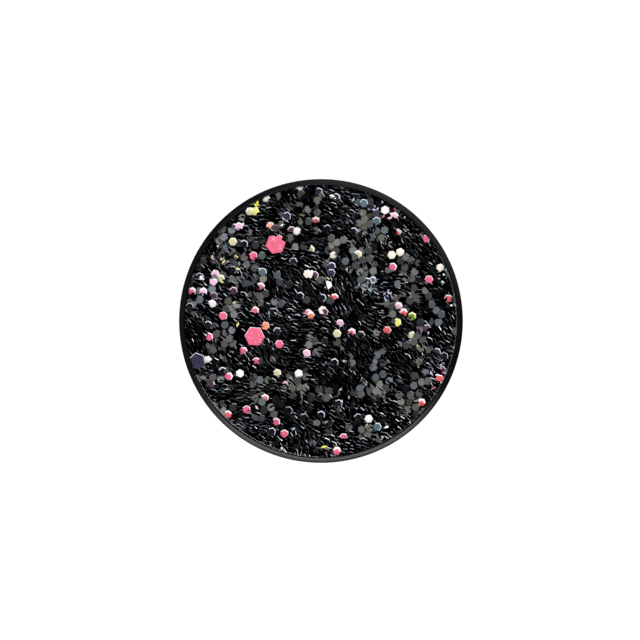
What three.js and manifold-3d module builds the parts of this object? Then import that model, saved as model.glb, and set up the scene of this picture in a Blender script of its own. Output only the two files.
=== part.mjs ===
// Round glitter enamel pin, worn upright: its face looks along -Y and +Z is up.
// The origin is the centre of the tray's flat back, which lies against the cloth.
// Two posts go through the cloth along +Y, and a butterfly clutch grips each of them behind it.
// Every turned or stamped piece is a profile of [radius, y] points spun about the Y axis.
import * as THREE from 'three';
import { mergeVertices } from 'three/addons/utils/BufferGeometryUtils.js';
import Module from 'manifold-3d';

const manifold = await Module();
manifold.setup();

// Driving dimensions, in millimetres
const PIN_DIAMETER = 38;
const PIN_THICKNESS = 2.2;
const RIM_WIDTH = 0.78;
const TRAY_FLOOR = 0.9;
const BOND_LINE = 0.02;
const ENAMEL_THICKNESS = 0.12;
const GLITTER_THICKNESS = 0.7;
const RESIN_EDGE_BELOW_RIM = 0.16;
const RESIN_CROWN = 0.12;
const POST_SPACING = 18;
const POST_DIAMETER = 1.2;
const POST_LENGTH = 7.6;
const CLOTH_GAP = 2.5;
const CLUTCH_DIAMETER = 11.5;
const SHEET = 0.3;
const DOME_DIAMETER = 5.8;
const DOME_HEIGHT = 5.2;
const HOLE_DIAMETER = 1.8;
const WINDOW_WIDTH = 4;
const WING_STRIP_WIDTH = 3.2;
const WING_EAR_WIDTH = 5;
const WING_SPAN = 13.4;

// Finishes
const BLACK_PLATE = { color: 0x1c1c1e, roughness: 0.38, metalness: 0.6 };
const BLACK_ENAMEL = { color: 0x08080a, roughness: 0.3, metalness: 0 };
const GLITTER = { color: 0x24262a, roughness: 0.35, metalness: 0.4 };
const CLEAR = { color: 0xf2f4f5, roughness: 0.05, metalness: 0, transparent: true, opacity: 0.2 };
const NICKEL = { color: 0xc4c2bb, roughness: 0.28, metalness: 1 };
const SPRING_STEEL = { color: 0xb2b1ad, roughness: 0.34, metalness: 1 };

const part = new THREE.Group();

function addMesh(parent, name, geometry, finish) {
  const mesh = new THREE.Mesh(geometry, new THREE.MeshStandardMaterial(finish));
  mesh.name = name;
  parent.add(mesh);
  return mesh;
}

// Points on an arc round [centreR, centreY], from one angle to another, in degrees
function arc(centreR, centreY, radius, from, to, steps) {
  return Array.from({ length: steps + 1 }, (_, i) => {
    const angle = THREE.MathUtils.degToRad(from + ((to - from) * i) / steps);
    return [centreR + radius * Math.cos(angle), centreY + radius * Math.sin(angle)];
  });
}

function spin(profile, segments) {
  return new THREE.LatheGeometry(profile.map(([r, y]) => new THREE.Vector2(r, y)), segments);
}

function toSolid(geometry) {
  const bare = geometry.clone();
  bare.deleteAttribute('normal');
  bare.deleteAttribute('uv');
  const merged = mergeVertices(bare, 1e-5);
  return new manifold.Manifold(new manifold.Mesh({
    numProp: 3,
    vertProperties: new Float32Array(merged.attributes.position.array),
    triVerts: new Uint32Array(merged.index.array),
  }));
}

function toGeometry(solid) {
  const mesh = solid.getMesh();
  const geometry = new THREE.BufferGeometry();
  geometry.setAttribute('position', new THREE.BufferAttribute(mesh.vertProperties, 3));
  geometry.setIndex(new THREE.BufferAttribute(mesh.triVerts, 1));
  geometry.computeVertexNormals();
  return geometry;
}

// Outline of a strip of even thickness along a smooth line through the given points
function stripShape(points, thickness, steps) {
  const line = new THREE.SplineCurve(points.map(([a, b]) => new THREE.Vector2(a, b)));
  const sides = [-1, 1].map((side) => Array.from({ length: steps + 1 }, (_, i) => {
    const along = line.getTangentAt(i / steps);
    const across = new THREE.Vector2(-along.y, along.x).multiplyScalar((side * thickness) / 2);
    return line.getPointAt(i / steps).add(across);
  }));
  return new THREE.Shape([...sides[0], ...sides[1].reverse()]);
}

// A shape drawn as (z, y) becomes a strip of the given width, centred on x = 0
function acrossX(shape, width) {
  const geometry = new THREE.ExtrudeGeometry(shape, { depth: width, bevelEnabled: false });
  return geometry.translate(0, 0, -width / 2).rotateY(-Math.PI / 2);
}

// A shape drawn as (x, z) becomes a block that reaches from y = 0 to y = height
function alongY(shape, height) {
  const geometry = new THREE.ExtrudeGeometry(shape, { depth: height, bevelEnabled: false, curveSegments: 6 });
  return geometry.rotateX(Math.PI / 2).translate(0, height, 0);
}

const pinRadius = PIN_DIAMETER / 2;
const cavityRadius = pinRadius - RIM_WIDTH;
const cavityFloor = -TRAY_FLOOR;
const rimCrest = -PIN_THICKNESS;
const PIN_SEGMENTS = 64;

// The tray: a flat pan whose rim is crisp inside and falls away in a quarter round outside
function trayProfile() {
  const backBreak = 0.2;
  const mountRing = 2.5;
  const innerRound = 0.12;
  const outerRound = RIM_WIDTH - innerRound;
  return [
    [0, cavityFloor],
    [cavityRadius, cavityFloor],
    ...arc(cavityRadius + innerRound, rimCrest + innerRound, innerRound, -180, -90, 2),
    ...arc(pinRadius - outerRound, rimCrest + outerRound, outerRound, -90, 0, 5).slice(1),
    [pinRadius, -backBreak],
    [pinRadius - backBreak, 0],
    [mountRing, 0],
    [0, 0],
  ];
}

// A flat disc that fills the cavity between two depths below the back face
function discProfile(back, front) {
  const radius = cavityRadius - BOND_LINE;
  return [[0, front], [radius, front], [radius, back], [0, back]];
}

// The clear coat: flat behind, and very slightly crowned in front
function resinProfile(back) {
  const radius = cavityRadius - BOND_LINE;
  const edge = rimCrest + RESIN_EDGE_BELOW_RIM;
  const crown = [0, 0.5, 1].map((share) => [radius * share, edge - RESIN_CROWN * (1 - share ** 2)]);
  return [...crown, [radius, back], [0, back]];
}

function addFace() {
  const bedBack = cavityFloor - BOND_LINE;
  const bedFront = bedBack - ENAMEL_THICKNESS;
  const glitterBack = bedFront - BOND_LINE;
  const glitterFront = glitterBack - GLITTER_THICKNESS;
  addMesh(part, 'tray', spin(trayProfile(), PIN_SEGMENTS), BLACK_PLATE);
  addMesh(part, 'enamel_bed', spin(discProfile(bedBack, bedFront), PIN_SEGMENTS), BLACK_ENAMEL);
  addMesh(part, 'glitter_layer', spin(discProfile(glitterBack, glitterFront), PIN_SEGMENTS), GLITTER);
  addMesh(part, 'clear_resin', spin(resinProfile(glitterFront - BOND_LINE), PIN_SEGMENTS), CLEAR);
}

// A post: brazed pad, filleted shank, gripping neck and point
function postProfile() {
  const shank = POST_DIAMETER / 2;
  const padRadius = 2.2;
  const padHeight = 0.35;
  const fillet = 0.45;
  const pointLength = 0.9;
  const neckDepth = 0.14;
  const neckLength = 0.5;
  const collar = 0.3;
  const padRound = 0.1;
  const neckTop = POST_LENGTH - pointLength - collar;
  const neckBottom = neckTop - neckLength;
  return [
    [0, BOND_LINE],
    [padRadius, BOND_LINE],
    [padRadius, padHeight - padRound],
    [padRadius - padRound, padHeight],
    ...arc(shank + fillet, padHeight + fillet, fillet, -90, -180, 3),
    [shank, neckBottom - neckDepth],
    [shank - neckDepth, neckBottom],
    [shank - neckDepth, neckTop],
    [shank, neckTop + neckDepth],
    [shank, POST_LENGTH - pointLength],
    [0, POST_LENGTH],
  ];
}

// Clutch pieces are drawn from the centre of the face that meets the cloth, with +Y away from the cloth
const clutchRadius = CLUTCH_DIAMETER / 2;
const holeRadius = HOLE_DIAMETER / 2;
const domeRadius = DOME_DIAMETER / 2;
const rollWidth = 0.4;
const rollClearance = 0.05;
const facePlateRadius = clutchRadius - rollWidth - rollClearance;
const CLUTCH_SEGMENTS = 32;

function facePlateProfile() {
  const mountRing = 2.6;
  const lead = 0.1;
  return [
    [holeRadius + lead, 0],
    [mountRing, 0],
    [facePlateRadius, 0],
    [facePlateRadius, SHEET],
    [holeRadius, SHEET],
    [holeRadius, lead],
    [holeRadius + lead, 0],
  ];
}

// The shell: a dish over the face plate, its edge rolled round the plate, and a dome with a post hole
function shellProfile() {
  const dishBack = SHEET + BOND_LINE;
  const dishFront = dishBack + SHEET;
  const rollTop = 1.5;
  const rollBreak = 0.15;
  const domeFoot = 0.2;
  const corner = 0.6;
  const rollRadius = rollWidth / 2;
  const rollCentre = clutchRadius - rollRadius;
  const domeTop = DOME_HEIGHT - corner;
  return [
    [clutchRadius - rollWidth, BOND_LINE],
    [clutchRadius - rollBreak, BOND_LINE],
    [clutchRadius, BOND_LINE + rollBreak],
    ...arc(rollCentre, rollTop - rollRadius, rollRadius, 0, 180, 4),
    [clutchRadius - rollWidth, dishFront + rollBreak],
    [clutchRadius - rollWidth - rollBreak, dishFront],
    [domeRadius + domeFoot, dishFront],
    [domeRadius, dishFront + domeFoot],
    ...arc(domeRadius - corner, domeTop, corner, 0, 90, 3),
    [holeRadius, DOME_HEIGHT],
    [holeRadius, DOME_HEIGHT - SHEET],
    ...arc(domeRadius - corner, domeTop, corner - SHEET, 90, 0, 2),
    [domeRadius - SHEET, dishBack],
    [clutchRadius - rollWidth, dishBack],
    [clutchRadius - rollWidth, BOND_LINE],
  ];
}

// The dome has a window above and below the post, where the wings come out
function shellGeometry() {
  const windowBottom = 0.85;
  const windowTop = 4.5;
  const throughDome = DOME_DIAMETER + 1;
  const windows = new THREE.BoxGeometry(WINDOW_WIDTH, windowTop - windowBottom, throughDome);
  windows.translate(0, (windowTop + windowBottom) / 2, 0);
  return toGeometry(toSolid(spin(shellProfile(), CLUTCH_SEGMENTS)).subtract(toSolid(windows)));
}

// The spring's middle: a strip bowed under the dome's top, with a hole for the post
function springBridgeGeometry() {
  const bowTop = 4.5;
  const cutHeight = 2;
  const bow = stripShape([[-1.9, 3.9], [-1.3, 4.35], [0, bowTop], [1.3, 4.35], [1.9, 3.9]], SHEET, 10);
  const postHole = new THREE.CylinderGeometry(holeRadius, holeRadius, cutHeight, 20).translate(0, bowTop, 0);
  return toGeometry(toSolid(acrossX(bow, WING_STRIP_WIDTH)).subtract(toSolid(postHole)));
}

// A wing, seen from the side: the jaw at the post, the arm up past the pivot, and the ear outside
const WING_LINE = [[0, 1.45], [1.2, 1.45], [1.85, 2], [2.2, 3.2], [3.1, 4], [4.4, 4.7], [5.7, 5.9], [7, 7.6]];

// A wing, seen along the post: a notched jaw, a narrow strip through the window and a broad round ear
function wingOutline() {
  const jawGap = 0.12;
  const notchRadius = POST_DIAMETER / 2 + 0.05;
  const notchEdge = Math.acos(jawGap / notchRadius);
  const jawHalf = 1.2;
  const shoulder = 0.6;
  const flareStart = 3.4;
  const flareEnd = 4.6;
  const half = WING_STRIP_WIDTH / 2;
  const earHalf = WING_EAR_WIDTH / 2;
  const tip = WING_SPAN / 2;
  const outline = new THREE.Shape();
  outline.moveTo(Math.sin(notchEdge) * notchRadius, jawGap);
  outline.lineTo(jawHalf, jawGap);
  outline.lineTo(half, shoulder);
  outline.lineTo(half, flareStart);
  outline.quadraticCurveTo(half + 0.1, 4, earHalf, flareEnd);
  outline.bezierCurveTo(earHalf + 0.15, 5.9, half, tip, 0, tip);
  outline.bezierCurveTo(-half, tip, -earHalf - 0.15, 5.9, -earHalf, flareEnd);
  outline.quadraticCurveTo(-half - 0.1, 4, -half, flareStart);
  outline.lineTo(-half, shoulder);
  outline.lineTo(-jawHalf, jawGap);
  outline.lineTo(-Math.sin(notchEdge) * notchRadius, jawGap);
  outline.absarc(0, 0, notchRadius, Math.PI / 2 + notchEdge, Math.PI / 2 - notchEdge, true);
  return outline;
}

function wingGeometry() {
  const aboveWing = 9;
  const beyondEar = WING_EAR_WIDTH + 1;
  const strip = acrossX(stripShape(WING_LINE, SHEET, 16), beyondEar);
  const outline = alongY(wingOutline(), aboveWing);
  return toGeometry(toSolid(strip).intersect(toSolid(outline)));
}

// One side of the pin: its post, and its clutch a cloth's thickness behind the tray
function addFastening(side, x) {
  const post = addMesh(part, `${side}_post`, spin(postProfile(), 20), BLACK_PLATE);
  post.position.x = x;
  const clutch = new THREE.Group();
  clutch.position.set(x, CLOTH_GAP, 0);
  part.add(clutch);
  addMesh(clutch, `${side}_clutch_face_plate`, spin(facePlateProfile(), CLUTCH_SEGMENTS), NICKEL);
  addMesh(clutch, `${side}_clutch_shell`, shellGeometry(), NICKEL);
  addMesh(clutch, `${side}_clutch_spring_bridge`, springBridgeGeometry(), SPRING_STEEL);
  addMesh(clutch, `${side}_clutch_upper_wing`, wingGeometry(), SPRING_STEEL);
  const lowerWing = addMesh(clutch, `${side}_clutch_lower_wing`, wingGeometry(), SPRING_STEEL);
  lowerWing.rotation.y = Math.PI;
}

addFace();
addFastening('left', -POST_SPACING / 2);
addFastening('right', POST_SPACING / 2);

export default part;
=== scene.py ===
"""Round glitter enamel pin: a black tray of hexagonal flakes in clear resin.

Two posts at its back go through the cloth, and a butterfly clutch grips each of them behind it.
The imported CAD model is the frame. Each CAD node gets a finely made piece of the same size and place.
Lengths below are in millimetres, and M turns them into metres. The face looks along -Y and +Z is up.
"""
import math
import random

import bmesh
import bpy
from mathutils import Matrix, Vector, noise


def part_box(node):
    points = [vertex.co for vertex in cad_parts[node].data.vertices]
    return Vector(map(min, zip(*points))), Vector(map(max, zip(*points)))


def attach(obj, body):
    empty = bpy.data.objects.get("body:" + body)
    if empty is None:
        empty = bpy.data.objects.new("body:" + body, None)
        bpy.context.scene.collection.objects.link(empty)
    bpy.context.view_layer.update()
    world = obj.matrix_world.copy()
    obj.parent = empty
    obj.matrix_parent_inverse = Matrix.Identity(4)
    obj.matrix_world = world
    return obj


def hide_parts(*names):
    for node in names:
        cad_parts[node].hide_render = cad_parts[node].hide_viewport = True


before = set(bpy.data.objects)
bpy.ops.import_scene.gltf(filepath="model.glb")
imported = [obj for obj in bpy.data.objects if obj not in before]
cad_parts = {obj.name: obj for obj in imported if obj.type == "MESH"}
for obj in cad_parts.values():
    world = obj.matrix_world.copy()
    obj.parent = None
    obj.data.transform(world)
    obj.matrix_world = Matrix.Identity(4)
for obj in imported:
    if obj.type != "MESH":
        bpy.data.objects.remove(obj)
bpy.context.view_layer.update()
M = 0.001
MM = 1000.0

# ---------------- sizes


def box_mm(node):
    low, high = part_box(node)
    return low * MM, high * MM


TRAY_LOW, TRAY_HIGH = box_mm("tray")
PIN_RADIUS = TRAY_HIGH.x
CREST_Y = TRAY_LOW.y
BED_BACK_Y = box_mm("enamel_bed")[1].y
BED_FRONT_Y = box_mm("enamel_bed")[0].y
RESIN_RADIUS = box_mm("clear_resin")[1].x
RESIN_CROWN_Y = box_mm("clear_resin")[0].y
BOND_LINE = 0.02
CAVITY_RADIUS = RESIN_RADIUS + BOND_LINE
RESIN_EDGE_BELOW_RIM = 0.16
RESIN_EDGE_Y = CREST_Y + RESIN_EDGE_BELOW_RIM
ENAMEL_RISE = 0.1
POST_DIAMETER = 1.2
CLUTCH_HOLE = 0.9
SHEET = 0.3
SMOOTH_BELOW = 35.0
TINY = 1e-6

# ---------------- mesh helpers


def arc(centre_r, centre_y, radius, start, end, steps):
    """Points on an arc in a profile, from one angle to another, in degrees."""
    points = []
    for i in range(steps + 1):
        angle = math.radians(start + (end - start) * i / steps)
        points.append((centre_r + radius * math.cos(angle), centre_y + radius * math.sin(angle)))
    return points


def shade_smooth(mesh, sharp_over):
    """Smooth shading, apart from edges that turn by more than an angle in degrees."""
    mesh.polygons.foreach_set("use_smooth", [True] * len(mesh.polygons))
    mesh.set_sharp_from_angle(angle=math.radians(sharp_over))


def add_object(name, data):
    made = bpy.data.objects.new(name, data)
    bpy.context.scene.collection.objects.link(made)
    return made


def mesh_piece(name, points, faces, sharp_over=SMOOTH_BELOW):
    """A mesh from points in millimetres, with its faces turned outward."""
    mesh = bpy.data.meshes.new(name)
    mesh.from_pydata([Vector(p) * M for p in points], [], faces)
    shape = bmesh.new()
    shape.from_mesh(mesh)
    bmesh.ops.recalc_face_normals(shape, faces=shape.faces)
    shape.to_mesh(mesh)
    shape.free()
    shade_smooth(mesh, sharp_over)
    return add_object(name, mesh)


def spun(profile, segments, centre_x=0.0, base_y=0.0):
    """Points, faces and rings of point numbers of a [radius, y] profile spun about the Y axis.

    A profile that doesn't start and end on the axis is a loop, and closes on itself."""
    points, rings = [], []
    for radius, y in profile:
        count = 1 if radius < TINY else segments
        rings.append([len(points) + j for j in range(count)])
        for j in range(count):
            angle = 2 * math.pi * j / segments
            points.append((centre_x + radius * math.cos(angle), base_y + y, radius * math.sin(angle)))
    is_loop = len(rings[0]) > 1
    following = rings[1:] + rings[:1] if is_loop else rings[1:]
    faces = []
    for first, second in zip(rings, following):
        for j in range(segments):
            k = (j + 1) % segments
            corners = [first[j % len(first)], first[k % len(first)]]
            corners += [second[k % len(second)], second[j % len(second)]]
            faces.append(list(dict.fromkeys(corners)))
    return points, faces, rings


def apply_modifiers(made, sharp_over=SMOOTH_BELOW):
    bpy.context.view_layer.update()
    shaped = made.evaluated_get(bpy.context.evaluated_depsgraph_get())
    mesh = bpy.data.meshes.new_from_object(shaped)
    made.modifiers.clear()
    made.data = mesh
    shade_smooth(mesh, sharp_over)


def thicken(made, even=False):
    """Gives a thin sheet the thickness of the clutch's metal, half to each side."""
    solid = made.modifiers.new("thickness", "SOLIDIFY")
    solid.thickness = SHEET * M
    solid.offset = 0
    solid.use_even_offset = even
    apply_modifiers(made)


def round_edges(made, width, over, sharp_over=SMOOTH_BELOW):
    """Rounds every edge that turns by more than an angle, with a width in millimetres."""
    bevel = made.modifiers.new("rounded", "BEVEL")
    bevel.width = width * M
    bevel.segments = 3
    bevel.limit_method = "ANGLE"
    bevel.angle_limit = math.radians(over)
    apply_modifiers(made, sharp_over)


def place(made, body, material, slot, *nodes):
    """The piece takes its material, moves with a body and stands for CAD nodes."""
    made.data.materials.clear()
    made.data.materials.append(material)
    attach(made, body)
    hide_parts(*nodes)
    return made


# ---------------- materials


class Nodes:
    """A material with a Principled shader, and short ways to add and join nodes."""

    def __init__(self, name, **values):
        self.material = bpy.data.materials.new(name)
        self.material.use_nodes = True
        self.tree = self.material.node_tree
        self.shader = self.tree.nodes["Principled BSDF"]
        for socket, value in values.items():
            self.shader.inputs[socket.replace("_", " ")].default_value = value

    def add(self, kind, **inputs):
        node = self.tree.nodes.new(kind)
        for socket, value in inputs.items():
            node.inputs[socket.replace("_", " ")].default_value = value
        return node

    def link(self, out, into):
        self.tree.links.new(out, into)

    def position(self, scale=(1, 1, 1)):
        """Object coordinates in millimetres, stretched by scale."""
        mapping = self.add("ShaderNodeMapping")
        mapping.inputs["Scale"].default_value = [s * MM for s in scale]
        self.link(self.add("ShaderNodeTexCoord").outputs["Object"], mapping.inputs["Vector"])
        return mapping.outputs["Vector"]

    def noise(self, per_mm, detail=3.0, stretch=(1, 1, 1)):
        """Cloudy noise from 0 to 1, with a number of clouds to the millimetre."""
        texture = self.add("ShaderNodeTexNoise", Scale=per_mm, Detail=detail)
        self.link(self.position(stretch), texture.inputs["Vector"])
        return texture.outputs["Fac"]

    def ramp(self, factor, stops):
        """Spreads a factor between stops of (place, colour or grey)."""
        node = self.tree.nodes.new("ShaderNodeValToRGB")
        elements = node.color_ramp.elements
        while len(elements) < len(stops):
            elements.new(0.5)
        for element, (at, value) in zip(elements, stops):
            element.position = at
            element.color = (*value, 1) if isinstance(value, tuple) else (value, value, value, 1)
        self.link(factor, node.inputs["Fac"])
        return node.outputs["Color"]

    def drive(self, socket, value):
        """Links a value to one of the shader's sockets."""
        self.link(value, self.shader.inputs[socket.replace("_", " ")])

    def bump(self, height, distance_mm, strength, below=None):
        """Bumps the surface by a height, on top of the bumps below it."""
        node = self.add("ShaderNodeBump", Strength=strength, Distance=distance_mm * M)
        self.link(height, node.inputs["Height"])
        if below is not None:
            self.link(below, node.inputs["Normal"])
        self.link(node.outputs["Normal"], self.shader.inputs["Normal"])
        return node.outputs["Normal"]


PLATE_SHADES = [(0.3, (0.0010, 0.0010, 0.0011)), (0.75, (0.0020, 0.0020, 0.0022))]
RIM_SHADES = [(0.3, (0.0050, 0.0050, 0.0054)), (0.75, (0.0070, 0.0070, 0.0075))]


def plate_material(name, gloss, shades=PLATE_SHADES, pebbled=False, **values):
    """Satin black plating: cloudy gloss and a fine grain, with pebbles on top for a struck back."""
    m = Nodes(name, **values)
    clouds = m.noise(per_mm=0.35, detail=4.0)
    m.drive("Base Color", m.ramp(clouds, shades))
    m.drive("Roughness", m.ramp(clouds, [(0.3, gloss[0]), (0.7, gloss[1])]))
    grain = m.bump(m.noise(per_mm=22.0, detail=2.0), distance_mm=0.004, strength=0.35)
    if pebbled:
        pebbles = m.add("ShaderNodeTexVoronoi", Scale=2.4)
        m.link(m.position(), pebbles.inputs["Vector"])
        m.bump(pebbles.outputs["Distance"], distance_mm=0.06, strength=0.7, below=grain)
    return m.material


def rim_material():
    """The polished rim: as a metal whose grazing sheen is held down, it stays black at its edges."""
    return plate_material("black_plate_rim", (0.28, 0.36), RIM_SHADES, Metallic=1.0,
                          Specular_Tint=(0.45, 0.45, 0.45, 1))


def enamel_material():
    """Black enamel, a little wavy."""
    m = Nodes("black_enamel", Roughness=0.3)
    shades = [(0.3, (0.0015, 0.0015, 0.002)), (0.7, (0.003, 0.003, 0.0035))]
    m.drive("Base Color", m.ramp(m.noise(per_mm=0.8), shades))
    m.bump(m.noise(per_mm=1.5), distance_mm=0.03, strength=0.3)
    return m.material


def resin_material():
    """Clear epoxy: it mirrors a little from outside and lets everything else through."""
    m = Nodes("clear_resin")
    tree = m.tree
    tree.nodes.remove(m.shader)
    waves = m.add("ShaderNodeBump", Strength=0.25, Distance=0.02 * M)
    m.link(m.noise(per_mm=0.25, detail=1.0), waves.inputs["Height"])
    mirror = m.add("ShaderNodeBsdfGlossy", Color=(1, 1, 1, 1), Roughness=0.09)
    clear = m.add("ShaderNodeBsdfTransparent", Color=(0.985, 0.99, 0.985, 1))
    fresnel = m.add("ShaderNodeFresnel", IOR=1.5)
    m.link(waves.outputs["Normal"], mirror.inputs["Normal"])
    m.link(waves.outputs["Normal"], fresnel.inputs["Normal"])
    outside = m.add("ShaderNodeMath")
    outside.operation = "SUBTRACT"
    outside.inputs[0].default_value = 1.0
    m.link(m.add("ShaderNodeNewGeometry").outputs["Backfacing"], outside.inputs[1])
    share = m.add("ShaderNodeMath")
    share.operation = "MULTIPLY"
    m.link(fresnel.outputs[0], share.inputs[0])
    m.link(outside.outputs[0], share.inputs[1])
    both = m.add("ShaderNodeMixShader")
    m.link(share.outputs[0], both.inputs[0])
    m.link(clear.outputs[0], both.inputs[1])
    m.link(mirror.outputs[0], both.inputs[2])
    m.link(both.outputs[0], tree.nodes["Material Output"].inputs["Surface"])
    return m.material


def nickel_material():
    """Bright nickel on stamped sheet: cloudy gloss, hairline scratches and a faint warm cast."""
    m = Nodes("nickel", Metallic=1.0)
    clouds = m.noise(per_mm=0.6, detail=4.0)
    hairs = m.noise(per_mm=9.0, detail=2.0, stretch=(0.15, 1, 1))
    m.drive("Base Color", m.ramp(clouds, [(0.3, (0.44, 0.42, 0.39)), (0.7, (0.54, 0.52, 0.49))]))
    m.drive("Roughness", m.ramp(clouds, [(0.3, 0.17), (0.7, 0.3)]))
    m.bump(hairs, distance_mm=0.003, strength=0.4)
    return m.material


def spring_material():
    """Plated spring strip, brushed along its length."""
    m = Nodes("spring_steel", Metallic=1.0)
    brushed = m.noise(per_mm=14.0, stretch=(1, 0.08, 0.08))
    shades = [(0.3, (0.33, 0.32, 0.30)), (0.7, (0.42, 0.41, 0.39))]
    m.drive("Base Color", m.ramp(m.noise(per_mm=0.9), shades))
    m.drive("Roughness", m.ramp(brushed, [(0.35, 0.24), (0.65, 0.34)]))
    m.bump(brushed, distance_mm=0.003, strength=0.25)
    return m.material


def film_material(name, colour, roughness, specular):
    """Thin plastic film of one colour, a little crinkled, with a gloss that comes and goes."""
    m = Nodes(name, Specular_IOR_Level=specular, Base_Color=(*colour, 1))
    crinkle = m.noise(per_mm=2.2, detail=2.0)
    m.drive("Roughness", m.ramp(crinkle, [(0.3, roughness - 0.1), (0.7, roughness + 0.1)]))
    m.bump(crinkle, distance_mm=0.06, strength=0.6)
    return m.material


# ---------------- the face


def make_tray():
    """The tray: its rim slopes outward on a wide curve between two tight edges. Its back is pebbled."""
    inner_round, outer_round = 0.12, 0.14
    slope_start, slope_end = 18, 30
    floor_y = BED_BACK_Y + BOND_LINE
    floor_round = 0.06
    back_break = 0.2
    facing_back = 0.99
    sines = [math.sin(math.radians(slope)) for slope in (slope_start, slope_end)]
    crest_r, crest_y = CAVITY_RADIUS + inner_round, CREST_Y + inner_round
    start_r = crest_r + inner_round * sines[0]
    start_y = crest_y - inner_round * math.cos(math.radians(slope_start))
    end_r = PIN_RADIUS - outer_round * (1 - sines[1])
    slope_round = (end_r - start_r) / (sines[1] - sines[0])
    slope_y = start_y + slope_round * math.cos(math.radians(slope_start))
    end_y = slope_y - slope_round * math.cos(math.radians(slope_end))
    slope_r = start_r - slope_round * sines[0]
    profile = [(0, floor_y), (CAVITY_RADIUS - floor_round, floor_y)]
    profile += arc(CAVITY_RADIUS - floor_round, floor_y - floor_round, floor_round, 90, 0, 3)[1:]
    profile += arc(crest_r, crest_y, inner_round, -180, slope_start - 90, 8)
    profile += arc(slope_r, slope_y, slope_round, slope_start - 90, slope_end - 90, 8)[1:]
    outer_y = end_y + outer_round * math.cos(math.radians(slope_end))
    profile += arc(PIN_RADIUS - outer_round, outer_y, outer_round, slope_end - 90, 0, 8)[1:]
    profile += arc(PIN_RADIUS - back_break, -back_break, back_break, 0, 90, 6)
    profile += [(CAVITY_RADIUS * share, 0) for share in (0.96, 0.7, 0.4)] + [(0, 0)]
    points, faces, _ = spun(profile, segments=256)
    made = mesh_piece("pin_tray", points, faces)
    place(made, "pin", rim_material(), "black_plate", "tray")
    made.data.materials.append(plate_material("black_plate_back", (0.34, 0.46), pebbled=True))
    for face in made.data.polygons:
        on_back = face.normal.y > facing_back and face.center.y * MM > -back_break
        face.material_index = 1 if on_back else 0


def make_enamel():
    """The black ground under the flakes, drawn up a little at the wall."""
    radius = RESIN_RADIUS
    profile = [(0, BED_FRONT_Y), (radius * 0.5, BED_FRONT_Y), (radius - 0.3, BED_FRONT_Y),
               (radius - 0.1, BED_FRONT_Y - 0.3 * ENAMEL_RISE), (radius, BED_FRONT_Y - ENAMEL_RISE),
               (radius, BED_BACK_Y), (0, BED_BACK_Y)]
    points, faces, _ = spun(profile, segments=192)
    made = mesh_piece("enamel_ground", points, faces)
    place(made, "pin", enamel_material(), "black_enamel", "enamel_bed")


def resin_front_y(radius):
    """Where the crowned front of the resin lies, at a distance from the middle."""
    return RESIN_EDGE_Y - (RESIN_EDGE_Y - RESIN_CROWN_Y) * (1 - (radius / RESIN_RADIUS) ** 2)


def make_resin():
    """The clear coat fills the tray from the enamel up, crowned a little and drawn up at the wall."""
    radius = RESIN_RADIUS
    creep, climb = 0.3, 0.07
    crown_steps, creep_steps = 24, 6
    profile = []
    for i in range(crown_steps):
        at = (radius - creep) * i / crown_steps
        profile.append((at, resin_front_y(at)))
    for i in range(creep_steps + 1):
        share = i / creep_steps
        profile.append((radius - creep * (1 - share), RESIN_EDGE_Y - climb * share ** 2))
    back_y = BED_FRONT_Y - ENAMEL_RISE - BOND_LINE
    profile += [(radius, back_y), (0, back_y)]
    points, faces, _ = spun(profile, segments=192)
    made = mesh_piece("resin_coat", points, faces)
    place(made, "pin", resin_material(), "clear_resin", "clear_resin")


# ---------------- the glitter

FLAKE_RADIUS = 0.585
FLAKE_THICKNESS = 0.1
BIG_FLAKE_RADIUS = 1.36
WALL_GAP = 0.03
LEAST_COVER = 0.015
GLITTER_TOP_Y = RESIN_EDGE_Y + 0.06
# The way round, in degrees, that the painted highlights on cut edges face, and how far it sways
PAINTED_GLINT_DIRECTION = 58
PAINTED_GLINT_SWAY = 55
# The way round that black flakes lean, and how far it sways
LEAN_DIRECTION = 225
LEAN_SWAY = 80

# Film and edge colours from dark to bright, with how many flakes in a hundred have them. The edge colours
# are painted highlights, with some painted shade.
BLACK_FILMS = [(0.0003, 0.0003, 0.0004), (0.0012, 0.0012, 0.0015), (0.004, 0.004, 0.0045),
               (0.012, 0.0125, 0.014)]
BLACK_FILM_SHARES = (46, 28, 16, 10)
# Painted highlights on the black flakes' cut edges, put on the sides turned toward the painted glint
# direction
BLACK_EDGE_PAINTED_GLINTS = [(0.045, 0.048, 0.056), (0.18, 0.19, 0.22), (0.46, 0.48, 0.56), (0.95, 0.95, 1.0)]
BLACK_EDGE_SHARES = (40, 34, 20, 6)
# Grey film colours: partly the flakes' own gunmetal tones and partly a painted reflection of the
# surroundings in flakes that lie flat
WARM_GREY_FILMS_AND_REFLECTION = [(0.024, 0.024, 0.024), (0.053, 0.053, 0.051), (0.09, 0.089, 0.084),
                   (0.134, 0.133, 0.12), (0.198, 0.195, 0.171)]
COOL_GREY_FILMS_AND_REFLECTION = [(0.022, 0.025, 0.029), (0.05, 0.056, 0.063), (0.081, 0.094, 0.105),
                   (0.121, 0.139, 0.152), (0.187, 0.209, 0.226)]
MAUVE_GREY_FILMS_AND_REFLECTION = [(0.024, 0.021, 0.024), (0.057, 0.048, 0.055), (0.097, 0.083, 0.092),
                    (0.138, 0.119, 0.134), (0.198, 0.176, 0.209)]
GREY_SHARES = (10, 22, 32, 24, 12)
MAUVE_SHARE = 0.16
# Grey flakes' cut edges: a painted dark shade for the sides turned away from the glint direction, then two
# painted highlights
GREY_EDGE_PAINTED_SHADE_AND_GLINTS = [(0.008, 0.008, 0.009), (0.13, 0.13, 0.13), (0.24, 0.245, 0.25)]
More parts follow.
